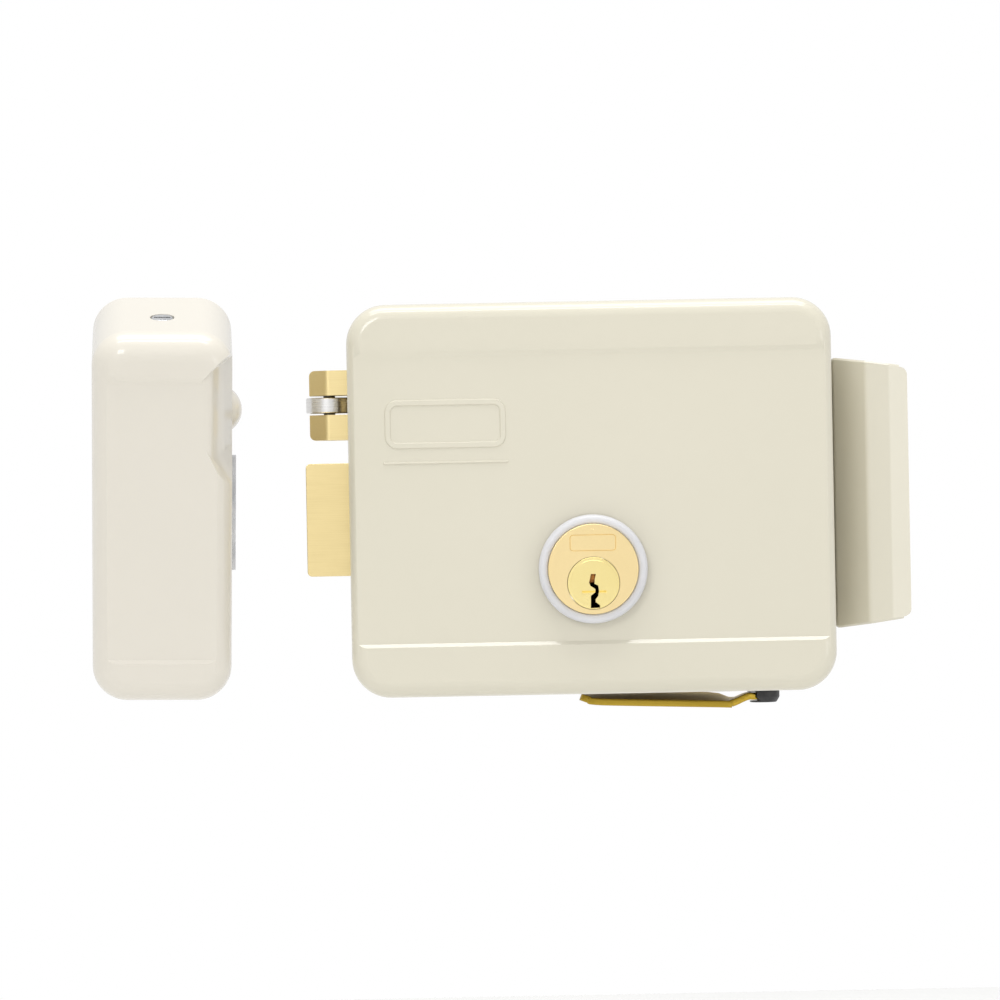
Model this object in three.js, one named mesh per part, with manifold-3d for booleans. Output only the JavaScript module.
// Surface-mounted electric rim lock with its strike box, millimetres, +Z up.
// The lock's face looks towards -Y, its bolts point towards -X, and y = 0 is the door's surface.
// The origin is the middle of the back plate's rear face.
import * as THREE from 'three';
import { mergeVertices } from 'three/addons/utils/BufferGeometryUtils.js';
import Module from 'manifold-3d';

const wasm = await Module();
wasm.setup();

// ---- Driving dimensions ----

const GAP = 0.3;
const SHEET = 1.5;

const CASE = { width: 124, height: 100.5, depth: 38, corner: 10, roll: 4, wall: 1.5 };
const BAND = { halfHeight: 36.5, step: 0.6 };
const PLATE = { thickness: 2, corner: 8.4, holeX: 52, holeZ: 42, holeR: 2.8 };
const COVER_SCREW = { x: -32, y: -8, headR: 2.8, shankR: 1.8 };

const CYLINDER = { x: 0, z: -18.2, r: 11.5, front: -43, back: -12 };
const RING = { outerR: 13.9, front: -42 };
const PLUG = { z: -21.8, r: 6.6, keyTop: -19.5, keyBottom: -28.2, keyWidth: 1.5 };
const CAM = { length: 10, width: 5, hubR: 4.6 };

const LATCH = { tip: -73.2, back: -34, low: -19, high: 10, front: -26, rear: -11, travel: 11.5 };
const TRIGGER = { tip: -72, back: -36, low: 16, high: 33.9, front: -27, rear: -11, slot: 5 };
const ROLLER = { x: -67, y: -19, z: 25, r: 6, height: 4, pinR: 1.5 };

const STRIP = { front: -8, rear: -6, low: -11, high: 3, left: -45, right: 48 };
const SPINDLE = { x: 43.8, y: -15, r: 2.9, endR: 1.6, top: -2.3 };
const LEVER = { tip: -4, halfWidth: 6.5, thickness: 1.8, endHalfWidth: 2.8, endTop: -51.3 };
const HUB = { r: 4.2, lowR: 3.6, low: -53.8, high: -50.7 };
const CRANK = { radius: LATCH.travel / (2 * Math.sin(0.32)), lead: 0.32, fingerR: 2.5 };

const COIL = { y: -17, z: 23, left: 2, right: 34, plungerR: 4.4, flangeR: 10.3 };
const CATCH = { x: -6, z: 10, plateFront: -18, plateRear: -16 };
const SPRING_STOP_X = -17;

const STRIKE = { width: 35.5, height: 98, depth: 38, corner: 9, roll: 6 };
const STRIKE_CENTRE = new THREE.Vector3(-109.85, -33, 1);
const STRIKE_ANGLES = { tip: 17.5, turn: 1.1, yaw: 3.3 };
const POCKET = { low: -22, high: 10.6, front: -7.4, rear: 10 };

const PULL = { thickness: 1.8, halfHeight: 35, outerHalfHeight: 32.4, flangeX: 54, outerX: 82.3 };

// ---- Materials ----

function finish(color, roughness, metalness) {
  return new THREE.MeshStandardMaterial({ color, roughness, metalness });
}

const CREAM_PAINT = finish(0xe5decf, 0.25, 0);
const BRASS = finish(0xd8b45a, 0.3, 1);
const PLATED_STEEL = finish(0xb9babd, 0.35, 1);
const DARK_STEEL = finish(0x6f7072, 0.45, 1);
const BLACK_NYLON = finish(0x1c1c1e, 0.5, 0);
const CLEAR_NYLON = finish(0xe9eef2, 0.35, 0);
const COPPER = finish(0xb5673a, 0.4, 1);
const RED_PVC = finish(0xa8322a, 0.5, 0);

// ---- Solids ----

function solid(geometry) {
  geometry.deleteAttribute('normal');
  geometry.deleteAttribute('uv');
  const merged = mergeVertices(geometry, 1e-4);
  const vertProperties = new Float32Array(merged.attributes.position.array);
  const triVerts = new Uint32Array(merged.index.array);
  return new wasm.Manifold(new wasm.Mesh({ numProp: 3, vertProperties, triVerts }));
}

function mesh(name, shape, material) {
  const cut = shape.getMesh();
  const geometry = new THREE.BufferGeometry();
  geometry.setAttribute('position', new THREE.BufferAttribute(cut.vertProperties, 3));
  geometry.setIndex(new THREE.BufferAttribute(cut.triVerts, 1));
  const part = new THREE.Mesh(geometry, material);
  part.name = name;
  return part;
}

function block([x0, x1], [y0, y1], [z0, z1]) {
  const geometry = new THREE.BoxGeometry(x1 - x0, y1 - y0, z1 - z0);
  geometry.translate((x0 + x1) / 2, (y0 + y1) / 2, (z0 + z1) / 2);
  return solid(geometry);
}

// A round bar between two stations on an axis; the other two coordinates give its centre line.
function rod(axis, radius, from, to, [a, b], segments = 24) {
  const geometry = new THREE.CylinderGeometry(radius, radius, to - from, segments);
  geometry.translate(0, (from + to) / 2, 0);
  return solid(aim(geometry, axis, a, b));
}

// A turned part: profile is a closed list of [radius, station] pairs about the axis.
function turned(axis, profile, [a, b], segments = 24) {
  const points = profile.map(([radius, station]) => new THREE.Vector2(radius, station));
  if (THREE.ShapeUtils.area(points) < 0) points.reverse();
  return solid(aim(new THREE.LatheGeometry(points, segments), axis, a, b));
}

// Moves a part made about +Y to the x, y or z axis through (a, b) in the other two coordinates.
function aim(geometry, axis, a, b) {
  if (axis === 'x') geometry.rotateZ(-Math.PI / 2).translate(0, a, b);
  if (axis === 'y') geometry.translate(a, 0, b);
  if (axis === 'z') geometry.rotateX(Math.PI / 2).translate(a, b, 0);
  return geometry;
}

function outline(points) {
  return new THREE.Shape(points.map(([a, b]) => new THREE.Vector2(a, b)));
}

function roundedRect(width, height, radius, x = 0, z = 0) {
  const shape = new THREE.Shape();
  const [right, top] = [width / 2 - radius, height / 2 - radius];
  shape.absarc(x + right, z + top, radius, 0, Math.PI / 2);
  shape.absarc(x - right, z + top, radius, Math.PI / 2, Math.PI);
  shape.absarc(x - right, z - top, radius, Math.PI, 1.5 * Math.PI);
  shape.absarc(x + right, z - top, radius, 1.5 * Math.PI, 2 * Math.PI);
  return shape;
}

// A flat part lying in XZ, from front (the lower y) to rear.
function plateXZ(shape, [front, rear], curveSegments = 6) {
  const settings = { depth: rear - front, bevelEnabled: false, curveSegments };
  const geometry = new THREE.ExtrudeGeometry(shape, settings);
  return solid(geometry.rotateX(Math.PI / 2).translate(0, rear, 0));
}

// A flat part lying in XY, from low z to high z.
function plateXY(shape, [low, high], curveSegments = 6) {
  const settings = { depth: high - low, bevelEnabled: false, curveSegments };
  const geometry = new THREE.ExtrudeGeometry(shape, settings);
  return solid(geometry.translate(0, 0, low));
}

// A box with upright rounded corners whose front edge is rolled over; its rear is cut square.
function rolledBox(width, height, corner, roll, [front, rear]) {
  const shape = roundedRect(width, height, corner);
  const geometry = new THREE.ExtrudeGeometry(shape, {
    depth: rear - front, bevelThickness: roll, bevelSize: roll, bevelOffset: -roll, bevelSegments: 3,
    curveSegments: 4,
  });
  geometry.rotateX(Math.PI / 2).translate(0, rear + roll, 0);
  return solid(geometry).intersect(block([-width, width], [front - 1, rear], [-height, height]));
}

// A sheet of even thickness that follows a path in XY.
function bentSheet(path, thickness, [low, high]) {
  const points = path.getPoints(4);
  const edge = (side) => points.map((point, i) => {
    const next = points[Math.min(i + 1, points.length - 1)];
    const before = points[Math.max(i - 1, 0)];
    const along = next.clone().sub(before).normalize();
    return new THREE.Vector2(point.x - along.y * side, point.y + along.x * side);
  });
  const shape = new THREE.Shape([...edge(thickness / 2), ...edge(-thickness / 2).reverse()]);
  return plateXY(shape, [low, high]);
}

class Coil extends THREE.Curve {
  constructor(radius, from, to, turns, y, z) {
    super();
    Object.assign(this, { radius, from, to, turns, y, z });
  }

  getPoint(t) {
    const angle = t * this.turns * 2 * Math.PI;
    return new THREE.Vector3(
      THREE.MathUtils.lerp(this.from, this.to, t),
      this.y + this.radius * Math.cos(angle),
      this.z + this.radius * Math.sin(angle),
    );
  }
}

function wire(curve, radius, steps) {
  const section = new THREE.Shape();
  section.absarc(0, 0, radius, 0, 2 * Math.PI);
  const settings = { extrudePath: curve, steps, curveSegments: 3, bevelEnabled: false };
  return solid(new THREE.ExtrudeGeometry(section, settings));
}

function coilSpring(radius, wireR, [from, to], turns, [y, z]) {
  return wire(new Coil(radius, from + wireR, to - wireR, turns, y, z), wireR, turns * 10);
}

// A screw along Y with its head at the front and its shank reaching to shankRear.
function faceScrew(name, [x, z], headFront, shankRear) {
  const [headR, headHeight, shankR] = [2.8, 2, 1.5];
  const profile = [
    [0, headFront], [headR, headFront], [headR, headFront + headHeight],
    [shankR, headFront + headHeight], [shankR, shankRear], [0, shankRear],
  ];
  return mesh(name, turned('y', profile, [x, z], 16), PLATED_STEEL);
}

function drill(body, radius, [x, z], range) {
  return body.subtract(rod('y', radius, range[0], range[1], [x, z], 12));
}

// A flush screw along Z that clamps a cover's end wall to a tab; top is the head's outer face.
function coverScrew(name, x, y, top, direction) {
  const { headR, shankR } = COVER_SCREW;
  const [under, end] = [top - direction * 1.3, top - direction * 7];
  const profile = [[0, top], [headR, top], [headR, under], [shankR, under], [shankR, end], [0, end]];
  const slot = block([x - 2, x + 2], [y - 0.4, y + 0.4], [top - 0.6, top + 0.6]);
  return mesh(name, turned('z', profile, [x, y]).subtract(slot), PLATED_STEEL);
}

// ---- Case ----

const CASE_FRONT = -CASE.depth;
const INNER_TOP = CASE.height / 2 - CASE.wall;
const PLATE_WIDTH = CASE.width - 2 * (CASE.wall + GAP);
const PLATE_HEIGHT = CASE.height - 2 * (CASE.wall + GAP);
const TAB_HIGH = PLATE_HEIGHT / 2;
const FIXINGS = {
  guideUpper: [-49, 34.5], guideLower: [-49, -19.5], springStop: [-22, 20], spindle: [48.3, -22],
  postLeft: [-18, -28], postRight: [18, -28],
};
const GROMMET = { x: 42, z: 34, holeR: 4.5 };

function caseCover() {
  const outer = rolledBox(CASE.width, CASE.height, CASE.corner, CASE.roll, [CASE_FRONT, -GAP]);
  const inner = rolledBox(
    CASE.width - 2 * CASE.wall, CASE.height - 2 * CASE.wall, CASE.corner - CASE.wall,
    CASE.roll - CASE.wall, [CASE_FRONT + CASE.wall + BAND.step, 1],
  );
  const side = [-CASE.width / 2 - 1, -CASE.width / 2 + 3];
  const panelZ = [-BAND.halfHeight, BAND.halfHeight];
  const panel = block([-CASE.width, CASE.width], [CASE_FRONT - 1, CASE_FRONT + BAND.step], panelZ);
  const latchWindow = block(side, [LATCH.front - 0.4, LATCH.rear + 0.4], [LATCH.low - 0.4, LATCH.high + 0.4]);
  const triggerWindow = block(
    side, [TRIGGER.front - 0.4, TRIGGER.rear + 0.4], [TRIGGER.low - 0.4, TRIGGER.high + 0.4],
  );
  const pullNotch = block([55, 65], [-5, 1], [-PULL.halfHeight - GAP, PULL.halfHeight + GAP]);
  const screwHoles = rod('z', COVER_SCREW.headR + GAP, -60, 60, [COVER_SCREW.x, COVER_SCREW.y]);
  const bushHole = rod('z', 4.5, -60, -40, [SPINDLE.x, SPINDLE.y]);
  const cylinderHole = rod('y', CYLINDER.r + 0.5, -50, -30, [CYLINDER.x, CYLINDER.z], 32);
  const cuts = [inner, panel, latchWindow, triggerWindow, pullNotch, screwHoles, bushHole, cylinderHole];
  return mesh('case_cover', cuts.reduce((body, cut) => body.subtract(cut), outer), CREAM_PAINT);
}

function backPlate() {
  const shape = roundedRect(PLATE_WIDTH, PLATE_HEIGHT, PLATE.corner);
  let plate = plateXZ(shape, [-PLATE.thickness, 0]);
  for (const side of [-1, 1]) {
    const [a, b] = [side * (TAB_HIGH - SHEET), side * TAB_HIGH];
    const tab = block([COVER_SCREW.x - 7, COVER_SCREW.x + 7], [-14, -1], [Math.min(a, b), Math.max(a, b)]);
    plate = plate.add(tab);
  }
  plate = plate.subtract(rod('z', COVER_SCREW.shankR + GAP, -60, 60, [COVER_SCREW.x, COVER_SCREW.y], 16));
  for (const x of [-PLATE.holeX, PLATE.holeX]) {
    for (const z of [-PLATE.holeZ, PLATE.holeZ]) plate = drill(plate, PLATE.holeR, [x, z], [-5, 5]);
  }
  for (const place of Object.values(FIXINGS)) plate = drill(plate, 1.8, place, [-5, 5]);
  for (const z of [-PULL_RIVET_Z, PULL_RIVET_Z]) plate = drill(plate, 1.8, [PULL_RIVET_X, z], [-5, 5]);
  plate = drill(plate, GROMMET.holeR, [GROMMET.x, GROMMET.z], [-5, 5]);
  plate = drill(plate, 7, [CYLINDER.x, PLUG.z], [-5, 5]);
  return mesh('back_plate', plate, PLATED_STEEL);
}

function cableGrommet() {
  const profile = [[2.5, -3.5], [6, -3.5], [6, -2.3], [4.2, -2.3], [4.2, -0.3], [2.5, -0.3], [2.5, -3.5]];
  return mesh('cable_grommet', turned('y', profile, [GROMMET.x, GROMMET.z]), BLACK_NYLON);
}

// ---- Door pull ----

const PULL_RIVET_X = 57.5;
const PULL_RIVET_Z = 25;

// In plan the pull leaves the case beside the door, follows the case's side, slopes out to its
// ridge, then falls away to its outer edge.
function doorPull() {
  const path = new THREE.Path();
  path.moveTo(PULL.flangeX, -3.2);
  path.lineTo(62.6, -3.2);
  path.quadraticCurveTo(64.2, -3.2, 64.2, -4.8);
  path.lineTo(64.2, -12);
  path.quadraticCurveTo(64.2, -13.2, 65.2, -14.2);
  path.lineTo(71, -20.2);
  path.quadraticCurveTo(71.8, -21, 73, -20.9);
  path.lineTo(77.2, -20.4);
  path.lineTo(PULL.outerX, -18.4);
  const sheet = bentSheet(path, PULL.thickness, [-PULL.halfHeight, PULL.halfHeight]);
  const [root, outer] = [PULL.halfHeight, PULL.outerHalfHeight];
  const taper = outline([
    [50, -root], [64, -root], [81.3, -outer - 0.2], [85, -outer + 3],
    [85, outer - 3], [81.3, outer + 0.2], [64, root], [50, root],
  ]);
  let pull = sheet.intersect(plateXZ(taper, [-30, 5]));
  for (const z of [-PULL_RIVET_Z, PULL_RIVET_Z]) pull = drill(pull, 1.8, [PULL_RIVET_X, z], [-10, 5]);
  return mesh('door_pull', pull, CREAM_PAINT);
}

function pullRivet(name, z) {
  const profile = [[0, -5.6], [2.8, -5.6], [3.1, -4.4], [1.5, -4.4], [1.5, -0.2], [0, -0.2]];
  return mesh(name, turned('y', profile, [PULL_RIVET_X, z], 16), PLATED_STEEL);
}

// ---- Key cylinder ----

const PLUG_AT = [CYLINDER.x, PLUG.z];
const CLIP_GROOVE = [-31.7, -30.2];

function cylinderBody() {
  const { r, front, back } = CYLINDER;
  const profile = [
    [0, front], [r - 0.8, front], [r, front + 0.8], [r, CLIP_GROOVE[0]], [r - 1.5, CLIP_GROOVE[0]],
    [r - 1.5, CLIP_GROOVE[1]], [r, CLIP_GROOVE[1]], [r, back], [0, back],
  ];
  const body = turned('y', profile, [CYLINDER.x, CYLINDER.z], 32);
  return mesh('cylinder_body', body.subtract(rod('y', PLUG.r + 0.25, -50, 0, PLUG_AT, 32)), BRASS);
}

function keyway() {
  const { keyTop: top, keyBottom: bottom, keyWidth: width } = PLUG;
  const half = width / 2;
  const wards = [[0, top], [-1, top - 1.8], [0.9, top - 3.6], [-0.4, top - 5.4], [0.4, bottom]];
  const left = wards.map(([x, z]) => [x - half, z]);
  const right = wards.map(([x, z]) => [x + half, z]).reverse();
  return plateXZ(outline([...left, ...right]), [-50, -18]);
}

function cylinderPlug() {
  const profile = [
    [0, -43.2], [PLUG.r - 0.4, -43.2], [PLUG.r, -42.8], [PLUG.r, -11.5], [3, -11.5], [3, -8.3], [0, -8.3],
  ];
  const plug = turned('y', profile, PLUG_AT, 32).subtract(keyway());
  return mesh('cylinder_plug', plug.subtract(rod('y', 1.5, -11, -7, PLUG_AT, 16)), BRASS);
}

// The cam lies in the retractor's plane and points away from the retractor's tooth.
function cylinderCam() {
  const armZ = [PLUG.z - CAM.width / 2, PLUG.z + CAM.width / 2];
  const arm = block([-CAM.length, 0], [STRIP.front, STRIP.rear], armZ);
  const cam = rod('y', CAM.hubR, STRIP.front, STRIP.rear, PLUG_AT).add(arm);
  return mesh('cylinder_cam', drill(cam, 1.5, PLUG_AT, [-10, 0]), PLATED_STEEL);
}

function camScrew() {
  const profile = [[0, -10.5], [1.2, -10.5], [1.2, -5.7], [2.6, -5.7], [2.6, -4.2], [0, -4.2]];
  return mesh('cam_screw', turned('y', profile, PLUG_AT, 16), PLATED_STEEL);
}

function cylinderRing() {
  const [inner, outer] = [CYLINDER.r + GAP, RING.outerR];
  const [front, back] = [RING.front, CASE_FRONT + BAND.step - GAP];
  const profile = [
    [inner, front + 0.8], [inner + 0.8, front], [outer - 1.2, front + 0.6], [outer, front + 2],
    [outer, back], [inner, back], [inner, front + 0.8],
  ];
  return mesh('cylinder_ring', turned('y', profile, [CYLINDER.x, CYLINDER.z], 32), CLEAR_NYLON);
}

function cylinderBracket() {
  const shape = roundedRect(46, 32, 5, CYLINDER.x, CYLINDER.z - 1);
  let bracket = plateXZ(shape, [-33.6, -32.1]);
  bracket = bracket.subtract(rod('y', CYLINDER.r + GAP, -40, -20, [CYLINDER.x, CYLINDER.z], 32));
  bracket = drill(bracket, 1.8, FIXINGS.postLeft, [-40, -20]);
  return mesh('cylinder_bracket', drill(bracket, 1.8, FIXINGS.postRight, [-40, -20]), PLATED_STEEL);
}

function cylinderClip() {
  const [front, back] = [CLIP_GROOVE[0] + 0.2, CLIP_GROOVE[1] - 0.2];
  const ring = rod('y', 13.2, front, back, [CYLINDER.x, CYLINDER.z], 32);
  const bore = rod('y', CYLINDER.r - 1.2, front - 1, back + 1, [CYLINDER.x, CYLINDER.z], 32);
  const mouth = block([-7, 7], [front - 1, back + 1], [CYLINDER.z - 20, CYLINDER.z]);
  return mesh('cylinder_clip', ring.subtract(bore).subtract(mouth), DARK_STEEL);
}

function bracketPost(name, place) {
  const profile = [[1.8, -31.8], [3, -31.8], [3, -2.3], [1.8, -2.3], [1.8, -31.8]];
  return mesh(name, turned('y', profile, place, 16), PLATED_STEEL);
}

// ---- Latch and trigger bolts ----

function latchBolt() {
  const { tip, back, low, high, front, rear } = LATCH;
  const bevel = outline([[tip, front], [back, front], [back, rear], [tip + 9, rear], [tip, rear - 9]]);
  const facing = roundedRect(back - tip + 4, high - low, 1.2, (tip + back) / 2 + 2, (low + high) / 2);
  const tail = block([STRIP.left, back], [rear - 1, STRIP.front - GAP], [-8, 0]);
  const body = plateXY(bevel, [low, high]).intersect(plateXZ(facing, [front - 1, rear + 1])).add(tail);
  return mesh('latch_bolt', drill(body, 1.6, RIVET_AT, [-15, 0]), BRASS);
}

const RIVET_AT = [-40, -4];

function retractorRivet() {
  const profile = [[0, -14.5], [1.3, -14.5], [1.3, -5.7], [2.6, -5.7], [2.6, -4.7], [0, -4.7]];
  return mesh('retractor_rivet', turned('y', profile, RIVET_AT, 16), PLATED_STEEL);
}

// The clevis carries the roller in an upright slot, with its nose bevelled both ways.
function triggerBolt() {
  const { tip, back, low, high, front, rear, slot } = TRIGGER;
  const plan = outline([
    [tip, front + 4], [tip + 4.5, front], [back, front], [back, rear], [tip + 6, rear], [tip, rear - 5],
  ]);
  const facing = roundedRect(back - tip + 4, high - low, 1.4, (tip + back) / 2 + 2, (low + high) / 2);
  const mouthZ = [ROLLER.z - slot / 2, ROLLER.z + slot / 2];
  const mouth = block([tip - 5, ROLLER.x + ROLLER.r + 1], [front - 1, rear + 1], mouthZ);
  const body = plateXY(plan, [low, high]).intersect(plateXZ(facing, [front - 1, rear + 1]));
  const bore = rod('z', ROLLER.pinR + GAP, low - 1, high + 1, [ROLLER.x, ROLLER.y], 16);
  return mesh('trigger_bolt', body.subtract(mouth).subtract(bore), BRASS);
}

function roller() {
  const [low, high] = [ROLLER.z - ROLLER.height / 2, ROLLER.z + ROLLER.height / 2];
  const wheel = rod('z', ROLLER.r, low, high, [ROLLER.x, ROLLER.y], 32);
  const bore = rod('z', ROLLER.pinR + 0.25, low - 1, high + 1, [ROLLER.x, ROLLER.y], 16);
  return mesh('roller', wheel.subtract(bore), PLATED_STEEL);
}

function rollerPin() {
  const pin = rod('z', ROLLER.pinR, TRIGGER.low + 0.4, TRIGGER.high - 0.4, [ROLLER.x, ROLLER.y], 16);
  return mesh('roller_pin', pin, DARK_STEEL);
}

function boltGuide() {
  const x = [-56, -42];
  const [front, rear] = [TRIGGER.front - 2.2, TRIGGER.front - 0.7];
  const foot = [-PLATE.thickness - GAP - SHEET, -PLATE.thickness - GAP];
  const [low, high] = [LATCH.low - 5, TRIGGER.high + 5];
  const pieces = [
    block(x, [front, rear], [low, high]),
    block(x, [front, foot[1]], [low, low + SHEET]),
    block(x, [front, foot[1]], [high - SHEET, high]),
    block(x, foot, [low, low + 8.5]),
    block(x, foot, [high - 8.5, high]),
  ];
  let guide = pieces.reduce((body, piece) => body.add(piece));
  guide = drill(guide, 1.8, FIXINGS.guideUpper, [-10, 0]);
  return mesh('bolt_guide', drill(guide, 1.8, FIXINGS.guideLower, [-10, 0]), PLATED_STEEL);
}

// One bracket backs both bolt springs; below z = 6 it stands clear of the retractor.
function springBracket() {
  const x = [SPRING_STOP_X, SPRING_STOP_X + SHEET];
  const pieces = [
    block(x, [-25, -9], [-14, 32]),
    block(x, [-10, -2.3], [6, 32]),
    block([-27, SPRING_STOP_X + SHEET], [-3.8, -2.3], [6, 32]),
  ];
  const bracket = pieces.reduce((body, piece) => body.add(piece));
  return mesh('spring_bracket', drill(bracket, 1.8, FIXINGS.springStop, [-10, 0]), PLATED_STEEL);
}

// Each bolt's spring stands between its rear face and the bracket.
function latchSpring() {
  const middle = (LATCH.low + LATCH.high) / 2;
  const shape = coilSpring(4.4, 0.5, [LATCH.back + GAP, SPRING_STOP_X - GAP], 5, [-18.5, middle]);
  return mesh('latch_spring', shape, DARK_STEEL);
}

function triggerSpring() {
  const shape = coilSpring(4, 0.45, [TRIGGER.back + GAP, SPRING_STOP_X - GAP], 6, [ROLLER.y, ROLLER.z]);
  return mesh('trigger_spring', shape, DARK_STEEL);
}

// ---- Retractor ----

const FINGER = {
  x: SPINDLE.x - CRANK.radius * Math.sin(CRANK.lead),
  y: SPINDLE.y - CRANK.radius * Math.cos(CRANK.lead),
};

const EAR_FRONT = CASE_FRONT + BAND.step + CASE.wall + 0.4;

// The strip links the latch to the key's cam, by its tooth, and to the lever's crank, by its ear.
function retractorPlate() {
  const { front, rear, low, high, left, right } = STRIP;
  const earX = FINGER.x + CRANK.fingerR + GAP;
  const catchNotch = block([-26, -21], [front - 1, rear + 1], [high - 2.5, high + 1]);
  const pieces = [
    block([left, right], [front, rear], [low, high]),
    block([CAM.width / 2 + 0.7, 8], [front, rear], [PLUG.z + CAM.hubR + 0.4, low + 1]),
    block([right - 10, right - 2], [EAR_FRONT, front + 1], [-SHEET, 0]),
    block([earX, earX + SHEET], [EAR_FRONT, FINGER.y + 0.2], [-7.5, -1]),
  ];
  const plate = pieces.reduce((body, piece) => body.add(piece)).subtract(catchNotch);
  return mesh('retractor_plate', drill(plate, 1.6, RIVET_AT, [-10, 0]), PLATED_STEEL);
}

// ---- Inside lever ----

// The lever is a bar bent from sheet: its tip curls up, it slopes down towards its end, and its end
// rises into the hub.
function insideLever() {
  const { tip, halfWidth, thickness, endHalfWidth, endTop } = LEVER;
  const end = SPINDLE.x + endHalfWidth;
  const lower = [
    [tip, -51.7], [tip + 2, -53], [tip + 6, -53.8], [SPINDLE.x - 11, -54.95], [SPINDLE.x - 8.5, -54.85],
    [SPINDLE.x - 4.5, endTop - thickness], [end, endTop - thickness],
  ];
  const upper = [
    [end, endTop], [SPINDLE.x - 5.2, endTop], [SPINDLE.x - 9, -53.15], [SPINDLE.x - 11, -53.15],
    [tip + 6.3, -52], [tip + 3, -51.5], [tip + 0.6, -50.9],
  ];
  const side = outline([...lower, ...upper]);
  const bar = plateXZ(side, [SPINDLE.y - halfWidth, SPINDLE.y + halfWidth]);
  const plan = new THREE.Shape();
  plan.absarc(SPINDLE.x, SPINDLE.y, endHalfWidth, -Math.PI / 2, Math.PI / 2);
  plan.lineTo(SPINDLE.x - 9, SPINDLE.y + halfWidth);
  plan.absarc(tip + halfWidth, SPINDLE.y, halfWidth, Math.PI / 2, 1.5 * Math.PI);
  plan.lineTo(SPINDLE.x - 9, SPINDLE.y - halfWidth);
  const bore = rod('z', SPINDLE.endR + GAP, -60, -50, [SPINDLE.x, SPINDLE.y], 16);
  return mesh('inside_lever', bar.intersect(plateXY(plan, [-60, -50], 8)).subtract(bore), BRASS);
}

// The hub is moulded round the spindle and clasps the lever's end in a slot.
function leverHub() {
  const { r, lowR, low, high } = HUB;
  const inner = SPINDLE.endR + GAP;
  const slotHalf = LEVER.endHalfWidth + GAP;
  const [z0, z1] = [LEVER.endTop - LEVER.thickness - GAP, LEVER.endTop + GAP];
  const { x, y } = SPINDLE;
  const wide = slotHalf + 2.2;
  const flare = outline([[x, y - slotHalf], [x, y + slotHalf], [x - 6, y + wide], [x - 6, y - wide]]);
  const slot = rod('z', slotHalf, z0, z1, [x, y], 32).add(plateXY(flare, [z0, z1]));
  const profile = [[inner, low], [lowR, low], [r, low + 1.4], [r, high], [inner, high], [inner, low]];
  const hub = turned('z', profile, [x, y], 32).subtract(slot);
  return mesh('lever_hub', hub, BLACK_NYLON);
}

function leverSpindle() {
  const { r, endR, top } = SPINDLE;
  const shoulder = HUB.high + GAP;
  const end = HUB.low + 0.1;
  const profile = [[0, end], [endR, end], [endR, shoulder], [r, shoulder], [r, top], [0, top]];
  return mesh('lever_spindle', turned('z', profile, [SPINDLE.x, SPINDLE.y]), DARK_STEEL);
}

function leverCrank() {
  const z = [-6, -2.8];
  const length = CRANK.radius;
  const arm = outline([[-2.5, 0], [2.5, 0], [2.5, -length], [-2.5, -length]]);
  const crank = plateXY(arm, z).add(rod('z', CRANK.fingerR, z[0], z[1], [0, -length]));
  const hub = crank.add(rod('z', 5, z[0], z[1], [0, 0])).subtract(rod('z', SPINDLE.r + GAP, -10, 0, [0, 0]));
  const part = mesh('lever_crank', hub, PLATED_STEEL);
  part.rotation.z = -CRANK.lead;
  part.position.set(SPINDLE.x, SPINDLE.y, 0);
  return part;
}

function leverBush() {
  const profile = [
    [3.2, -50.4], [4.2, -50.4], [4.2, -48.45], [6, -48.45], [6, -47.2], [3.2, -47.2], [3.2, -50.4],
  ];
  return mesh('lever_bush', turned('z', profile, [SPINDLE.x, SPINDLE.y]), BLACK_NYLON);
}

function spindleBracket() {
  const x = [SPINDLE.x - 7, SPINDLE.x + 8];
  const shelf = block(x, [SPINDLE.y - 6, -2.3], [-14, -12.5]);
  const foot = block(x, [-3.8, -2.3], [-27, -12.5]);
  const bore = rod('z', SPINDLE.r + GAP, -20, -10, [SPINDLE.x, SPINDLE.y]);
  const bracket = shelf.add(foot).subtract(bore);
  return mesh('spindle_bracket', drill(bracket, 1.8, FIXINGS.spindle, [-10, 0]), PLATED_STEEL);
}

// ---- Electromagnet and catch ----

const COIL_AT = [COIL.y, COIL.z];

function solenoidFrame() {
  const z = [COIL.z - 10, COIL.z + 10];
  const y = [COIL.y - 10.5, -4.3];
  const pieces = [
    block([COIL.left, COIL.left + 2], y, z),
    block([COIL.right - 2, COIL.right], y, z),
    block([COIL.left, COIL.right], [-4.5, -2.3], z),
  ];
  const frame = pieces.reduce((body, piece) => body.add(piece));
  const plungerHole = rod('x', COIL.plungerR + 0.4, COIL.left - 1, COIL.left + 5, COIL_AT);
  const poleHole = rod('x', 2.8, COIL.right - 5, COIL.right + 1, COIL_AT);
  return mesh('solenoid_frame', frame.subtract(plungerHole).subtract(poleHole), PLATED_STEEL);
}

function solenoidBobbin() {
  const [left, right] = [COIL.left + 2 + GAP, COIL.right - 2 - GAP];
  const [bore, tube, flange, rim] = [4.7, 5.8, COIL.flangeR, 1.4];
  const profile = [
    [bore, left], [flange, left], [flange, left + rim], [tube, left + rim],
    [tube, right - rim], [flange, right - rim], [flange, right], [bore, right], [bore, left],
  ];
  return mesh('solenoid_bobbin', turned('x', profile, COIL_AT, 32), BLACK_NYLON);
}

function solenoidWinding() {
  const [left, right] = [COIL.left + 4, COIL.right - 4];
  const profile = [[6.1, left], [9.6, left], [9.6, right], [6.1, right], [6.1, left]];
  return mesh('solenoid_winding', turned('x', profile, COIL_AT, 32), COPPER);
}

const POLE_FACE = 24.6;
const PLUNGER_BORE = { bottom: 14.3, r: 3.3 };

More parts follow.
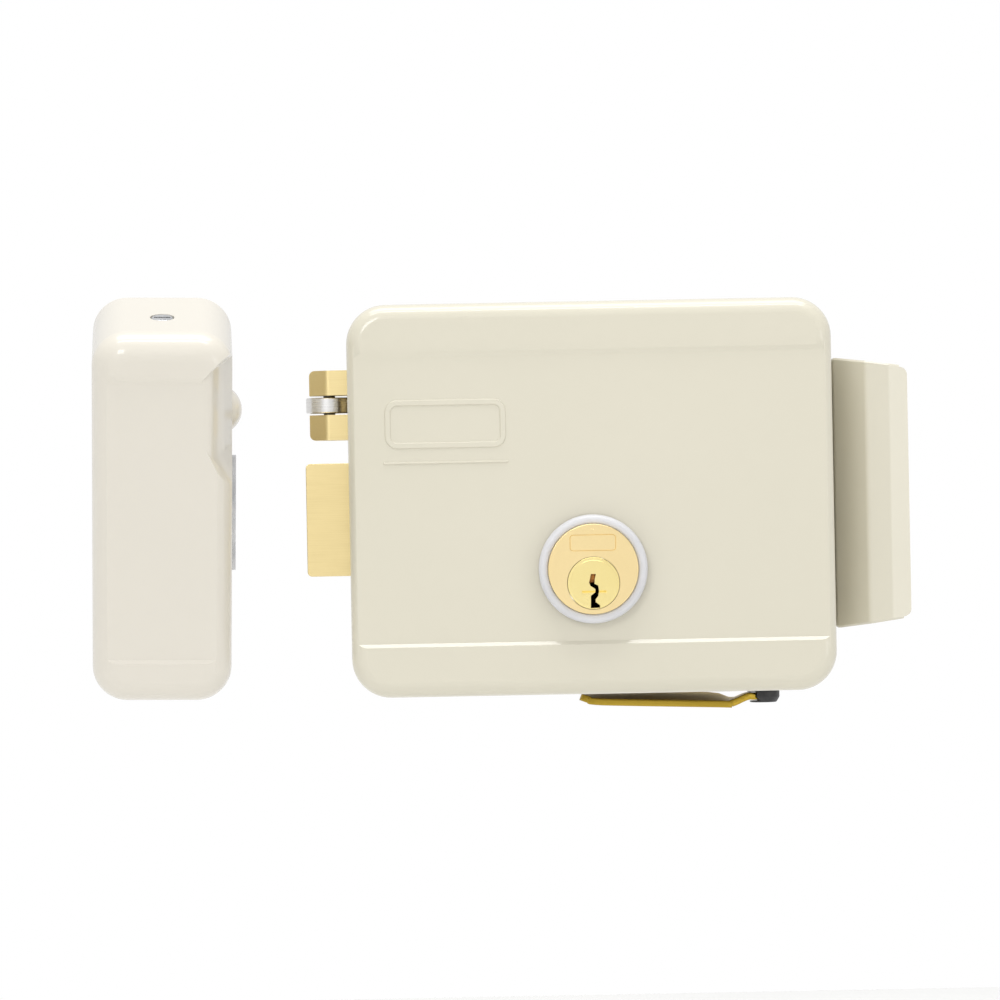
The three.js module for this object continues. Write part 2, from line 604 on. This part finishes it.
function solenoidPole() {
  const shoulder = COIL.right - 2 - GAP;
  const profile = [[0, POLE_FACE], [4.4, POLE_FACE], [4.4, shoulder], [2.5, shoulder], [2.5, 35], [0, 35]];
  return mesh('solenoid_pole', turned('x', profile, COIL_AT), DARK_STEEL);
}

// The plunger is slotted for the catch lever and bored for its return spring.
function solenoidPlunger() {
  const body = rod('x', COIL.plungerR, -10, 19, COIL_AT);
  const slot = block([-11, -1], [CATCH.plateFront - 0.4, CATCH.plateRear + 0.4], [COIL.z - 6, COIL.z + 6]);
  const bore = rod('x', PLUNGER_BORE.r, PLUNGER_BORE.bottom, 20, COIL_AT);
  const pinHole = rod('y', 1.55, COIL.y - 6, COIL.y + 6, [CATCH.x, COIL.z], 16);
  return mesh('solenoid_plunger', body.subtract(slot).subtract(bore).subtract(pinHole), DARK_STEEL);
}

function plungerSpring() {
  const shape = coilSpring(2.4, 0.35, [PLUNGER_BORE.bottom + GAP, POLE_FACE - GAP], 5, COIL_AT);
  return mesh('plunger_spring', shape, DARK_STEEL);
}

function plungerPin() {
  return mesh('plunger_pin', rod('y', 1.25, COIL.y - 4, COIL.y + 4, [CATCH.x, COIL.z], 16), PLATED_STEEL);
}

function catchLever() {
  const y = [CATCH.plateFront, CATCH.plateRear];
  const { x, z } = CATCH;
  const nose = block([x - 6, x - 3.5], [CATCH.plateFront, STRIP.rear], [STRIP.high + GAP, z - 1]);
  const pieces = [
    rod('y', 4, y[0], y[1], [x, z]),
    block([x - 2.2, x + 2.2], y, [z, COIL.z + 4]),
    block([x - 6, x], y, [z - 4, z]),
    nose,
  ];
  const lever = pieces.reduce((body, piece) => body.add(piece));
  const eye = block([x - 1.6, x + 1.6], [y[0] - 1, y[1] + 1], [COIL.z - 2, COIL.z + 2.4]);
  return mesh('catch_lever', drill(lever.subtract(eye), 2.3, [x, z], [-25, -5]), PLATED_STEEL);
}

function catchPivot() {
  const profile = [[0, -20], [3.2, -20], [3.2, -18.4], [2, -18.4], [2, -2.3], [0, -2.3]];
  return mesh('catch_pivot', turned('y', profile, [CATCH.x, CATCH.z], 16), DARK_STEEL);
}

// ---- Terminals and leads ----

const TERMINAL_X = { left: 13, right: 25 };

function terminalBlock() {
  let body = plateXZ(roundedRect(24, 9.4, 1, 19, 41.8), [-13, -2.6]);
  for (const x of Object.values(TERMINAL_X)) {
    body = drill(body, 2.4, [x, 41.8], [-14, -7]);
    body = body.subtract(rod('z', 1.3, 36, 40, [x, -9], 12));
  }
  return mesh('terminal_block', body, BLACK_NYLON);
}

function terminalScrew(name, x) {
  const slot = block([x - 3, x + 3], [-13, -12], [41.4, 42.2]);
  return mesh(name, rod('y', 2.1, -12.6, -7.3, [x, 41.8], 16).subtract(slot), PLATED_STEEL);
}

function lead(name, x) {
  const route = new THREE.CatmullRomCurve3([
    new THREE.Vector3(x, -13, 33.6), new THREE.Vector3(x, -11, 34.4),
    new THREE.Vector3(x, -9.2, 36), new THREE.Vector3(x, -9, 39),
  ]);
  return mesh(name, wire(route, 0.8, 12), RED_PVC);
}

// ---- Strike box, in its own upright frame: centre at the origin, rear face at y = depth / 2 ----

const HALF = { width: STRIKE.width / 2, depth: STRIKE.depth / 2, height: STRIKE.height / 2 };
const SCOOP = { low: 16.7, high: 40, across: 5.4, deep: 14, lowerSlope: 2.2, upperSlope: 1.2 };

// The wedge that leaves a ramp on the box's front right edge, where the trigger's roller runs up.
// Its two end walls slope outwards from the ramp. A positive inset moves the ramp inwards.
function scoop(inset) {
  const along = new THREE.Vector2(SCOOP.across, SCOOP.deep).normalize();
  const outwards = new THREE.Vector2(along.y, -along.x);
  const edge = new THREE.Vector2(HALF.width - SCOOP.across, -HALF.depth).addScaledVector(outwards, -inset);
  const start = edge.clone().addScaledVector(along, -3);
  const end = start.clone().addScaledVector(along, SCOOP.deep + 8);
  const wedge = outline([[start.x, start.y], [end.x, end.y], [end.x + 5, end.y], [end.x + 5, start.y]]);
  const settings = { depth: SCOOP.high - SCOOP.low + 2 * inset, bevelEnabled: false };
  const geometry = new THREE.ExtrudeGeometry(wedge, settings).translate(0, 0, SCOOP.low - inset);
  const places = geometry.attributes.position;
  for (let i = 0; i < places.count; i += 1) {
    const [x, y, z] = [places.getX(i), places.getY(i), places.getZ(i)];
    const distance = new THREE.Vector2(x, y).sub(edge).dot(outwards);
    const isLower = z < (SCOOP.low + SCOOP.high) / 2;
    places.setZ(i, isLower ? z - SCOOP.lowerSlope * distance : z + SCOOP.upperSlope * distance);
  }
  return solid(geometry);
}

// The crest of the ramp stands just proud of the box's side, behind the ramp's edge.
function rampCrest() {
  const crest = new THREE.SphereGeometry(1, 20, 12).scale(7.5, 10, 6.5).translate(HALF.width - 4.9, 4, 23.5);
  return solid(crest);
}

function strikeCover() {
  const { width, height, corner, roll } = STRIKE;
  const front = -HALF.depth;
  const outer = rolledBox(width, height, corner, roll, [front, HALF.depth - GAP]).subtract(scoop(0));
  const inner = rolledBox(
    width - 2 * SHEET, height - 2 * SHEET, corner - SHEET, roll - SHEET,
    [front + SHEET + BAND.step, HALF.depth + 1],
  ).subtract(scoop(SHEET));
  const panel = block([-width, width], [front - 1, front + BAND.step], [-BAND.halfHeight, BAND.halfHeight]);
  const side = [HALF.width - 3, HALF.width + 5];
  const pocket = block(side, [POCKET.front, POCKET.rear], [POCKET.low, POCKET.high]);
  const screwHole = rod('z', COVER_SCREW.headR + GAP, 40, 60, [0, 0]);
  const shell = outer.add(rampCrest()).subtract(inner);
  const cuts = [panel, pocket, screwHole];
  return mesh('strike_cover', cuts.reduce((body, cut) => body.subtract(cut), shell), CREAM_PAINT);
}

const KEEPER_RIVET_Z = [-14, 8];

function strikeBase() {
  const margin = 2 * (SHEET + GAP);
  const shape = roundedRect(STRIKE.width - margin, STRIKE.height - margin, STRIKE.corner - 1.6);
  const rear = HALF.depth;
  const tabTop = HALF.height - SHEET - GAP;
  const tab = block([-6, 6], [-6, rear - 1], [tabTop - SHEET, tabTop]);
  const tabHole = rod('z', COVER_SCREW.shankR + GAP, 30, 60, [0, 0], 16);
  let base = plateXZ(shape, [rear - PLATE.thickness, rear]).add(tab).subtract(tabHole);
  for (const z of [-35, 35]) base = drill(base, PLATE.holeR, [-4, z], [0, 30]);
  for (const z of KEEPER_RIVET_Z) base = drill(base, 1.8, [9, z], [0, 30]);
  return mesh('strike_base', base, PLATED_STEEL);
}

// The keeper's riser backs the latch; its lip stands just proud of the cover's side.
function strikeKeeper() {
  const footY = HALF.depth - PLATE.thickness - GAP;
  const [riser, lipY, lipX] = [HALF.width - SHEET - GAP, POCKET.rear - 0.3, HALF.width + 1.2];
  const profile = outline([
    [4, footY], [riser, footY], [riser, lipY], [lipX, lipY], [lipX, lipY - SHEET],
    [riser - SHEET, lipY - SHEET], [riser - SHEET, footY - SHEET], [4, footY - SHEET],
  ]);
  let keeper = plateXY(profile, [POCKET.low + 1, POCKET.high - 1]);
  for (const z of KEEPER_RIVET_Z) keeper = drill(keeper, 1.8, [9, z], [0, 30]);
  return mesh('strike_keeper', keeper, PLATED_STEEL);
}

function keeperRivet(name, z) {
  const head = HALF.depth - PLATE.thickness - GAP - SHEET - GAP;
  const end = HALF.depth - 0.2;
  const profile = [[0, head - 1.2], [2.6, head - 1.2], [3, head], [1.5, head], [1.5, end], [0, end]];
  return mesh(name, turned('y', profile, [9, z], 16), PLATED_STEEL);
}

// ---- Assembly ----

function assembleLock() {
  const plateRear = -GAP;
  const group = new THREE.Group();
  group.add(
    caseCover(), backPlate(), cableGrommet(),
    coverScrew('cover_screw_top', COVER_SCREW.x, COVER_SCREW.y, CASE.height / 2, 1),
    coverScrew('cover_screw_bottom', COVER_SCREW.x, COVER_SCREW.y, -CASE.height / 2, -1),
    doorPull(), pullRivet('pull_rivet_upper', PULL_RIVET_Z), pullRivet('pull_rivet_lower', -PULL_RIVET_Z),
    cylinderBody(), cylinderRing(), cylinderBracket(), cylinderClip(),
    bracketPost('bracket_post_left', FIXINGS.postLeft), bracketPost('bracket_post_right', FIXINGS.postRight),
    faceScrew('bracket_screw_left', FIXINGS.postLeft, -35.9, plateRear),
    faceScrew('bracket_screw_right', FIXINGS.postRight, -35.9, plateRear),
    cylinderPlug(), cylinderCam(), camScrew(),
    latchBolt(), retractorPlate(), retractorRivet(), triggerBolt(), roller(), rollerPin(),
    boltGuide(), springBracket(),
    faceScrew('guide_screw_upper', FIXINGS.guideUpper, -6.1, plateRear),
    faceScrew('guide_screw_lower', FIXINGS.guideLower, -6.1, plateRear),
    faceScrew('spring_bracket_screw', FIXINGS.springStop, -6.1, plateRear),
    latchSpring(), triggerSpring(),
    insideLever(), leverHub(), leverSpindle(), leverCrank(), leverBush(), spindleBracket(),
    faceScrew('spindle_bracket_screw', FIXINGS.spindle, -6.1, plateRear),
    solenoidFrame(), solenoidBobbin(), solenoidWinding(), solenoidPole(), solenoidPlunger(), plungerPin(),
    plungerSpring(),
    catchLever(), catchPivot(), terminalBlock(),
    terminalScrew('terminal_screw_left', TERMINAL_X.left),
    terminalScrew('terminal_screw_right', TERMINAL_X.right),
    lead('lead_left', TERMINAL_X.left), lead('lead_right', TERMINAL_X.right),
  );
  return group;
}

// The strike leans forward by its tip angle, is turned slightly in its own plane, and its face is
// swung a little towards the lock.
function assembleStrike() {
  const group = new THREE.Group();
  group.add(
    strikeCover(), strikeBase(), strikeKeeper(),
    keeperRivet('keeper_rivet_lower', KEEPER_RIVET_Z[0]),
    keeperRivet('keeper_rivet_upper', KEEPER_RIVET_Z[1]),
    coverScrew('strike_cover_screw', 0, 0, HALF.height, 1),
  );
  const { tip, turn, yaw } = STRIKE_ANGLES;
  group.rotation.set(...[tip, turn, yaw].map(THREE.MathUtils.degToRad), 'ZYX');
  group.position.copy(STRIKE_CENTRE);
  return group;
}

const part = new THREE.Group();
part.add(assembleLock(), assembleStrike());

export default part;
